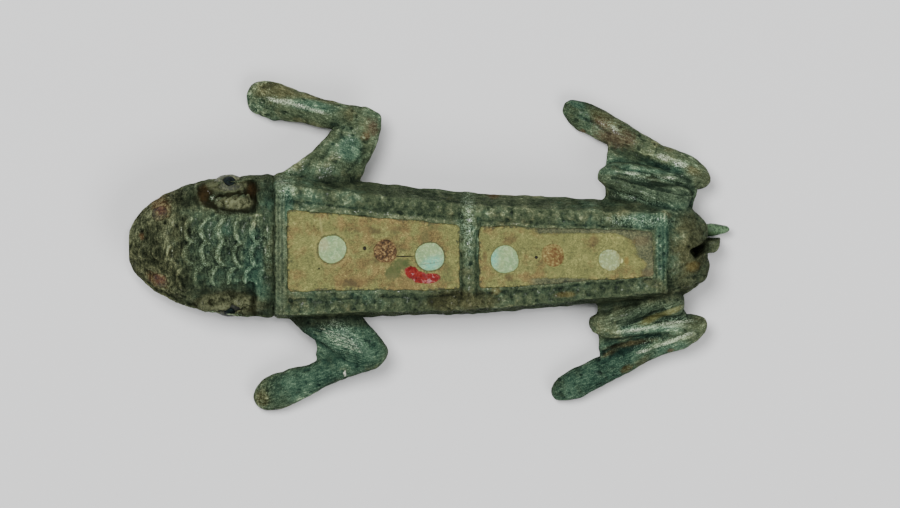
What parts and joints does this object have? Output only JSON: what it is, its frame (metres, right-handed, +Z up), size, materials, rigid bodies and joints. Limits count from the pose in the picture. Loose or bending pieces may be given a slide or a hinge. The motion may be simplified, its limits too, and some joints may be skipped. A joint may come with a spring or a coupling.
{
  "type": "frog brooch",
  "caption": "Cast copper-alloy brooch in the shape of a crouching frog, with enamelled panels on its back, inlaid eyes, and a hinged pin and catch beneath.",
  "frame": {"origin": "centre of the bounding box at the level of the feet's soles", "axes": "-X towards the frog's snout, +X towards its rump, +Y to the frog's right, +Z up out of its back"},
  "size_m": [0.0502, 0.0278, 0.0091],
  "materials": {
    "body": "aged copper alloy, green and brown patina",
    "enamel_ground": "weathered ochre enamel",
    "enamel_spot_pale": "opaque pale enamel",
    "enamel_spot_red": "decayed red-brown enamel",
    "eye": "opaque cream glass",
    "pupil": "dark glass",
    "pin": "aged copper alloy, pale green"
  },
  "bodies": {
    "root": {"body": "body", "enamel_front": "enamel_ground", "enamel_rear": "enamel_ground", "spot_front_1": "enamel_spot_pale", "spot_front_2": "enamel_spot_red", "spot_front_3": "enamel_spot_pale", "spot_rear_1": "enamel_spot_pale", "spot_rear_2": "enamel_spot_red", "spot_rear_3": "enamel_spot_pale", "eye_right": "eye", "eye_left": "eye", "pupil_right": "pupil", "pupil_left": "pupil", "nostril_right": "enamel_spot_red", "nostril_left": "enamel_spot_red", "pin": "pin"}
  },
  "joints": []
}
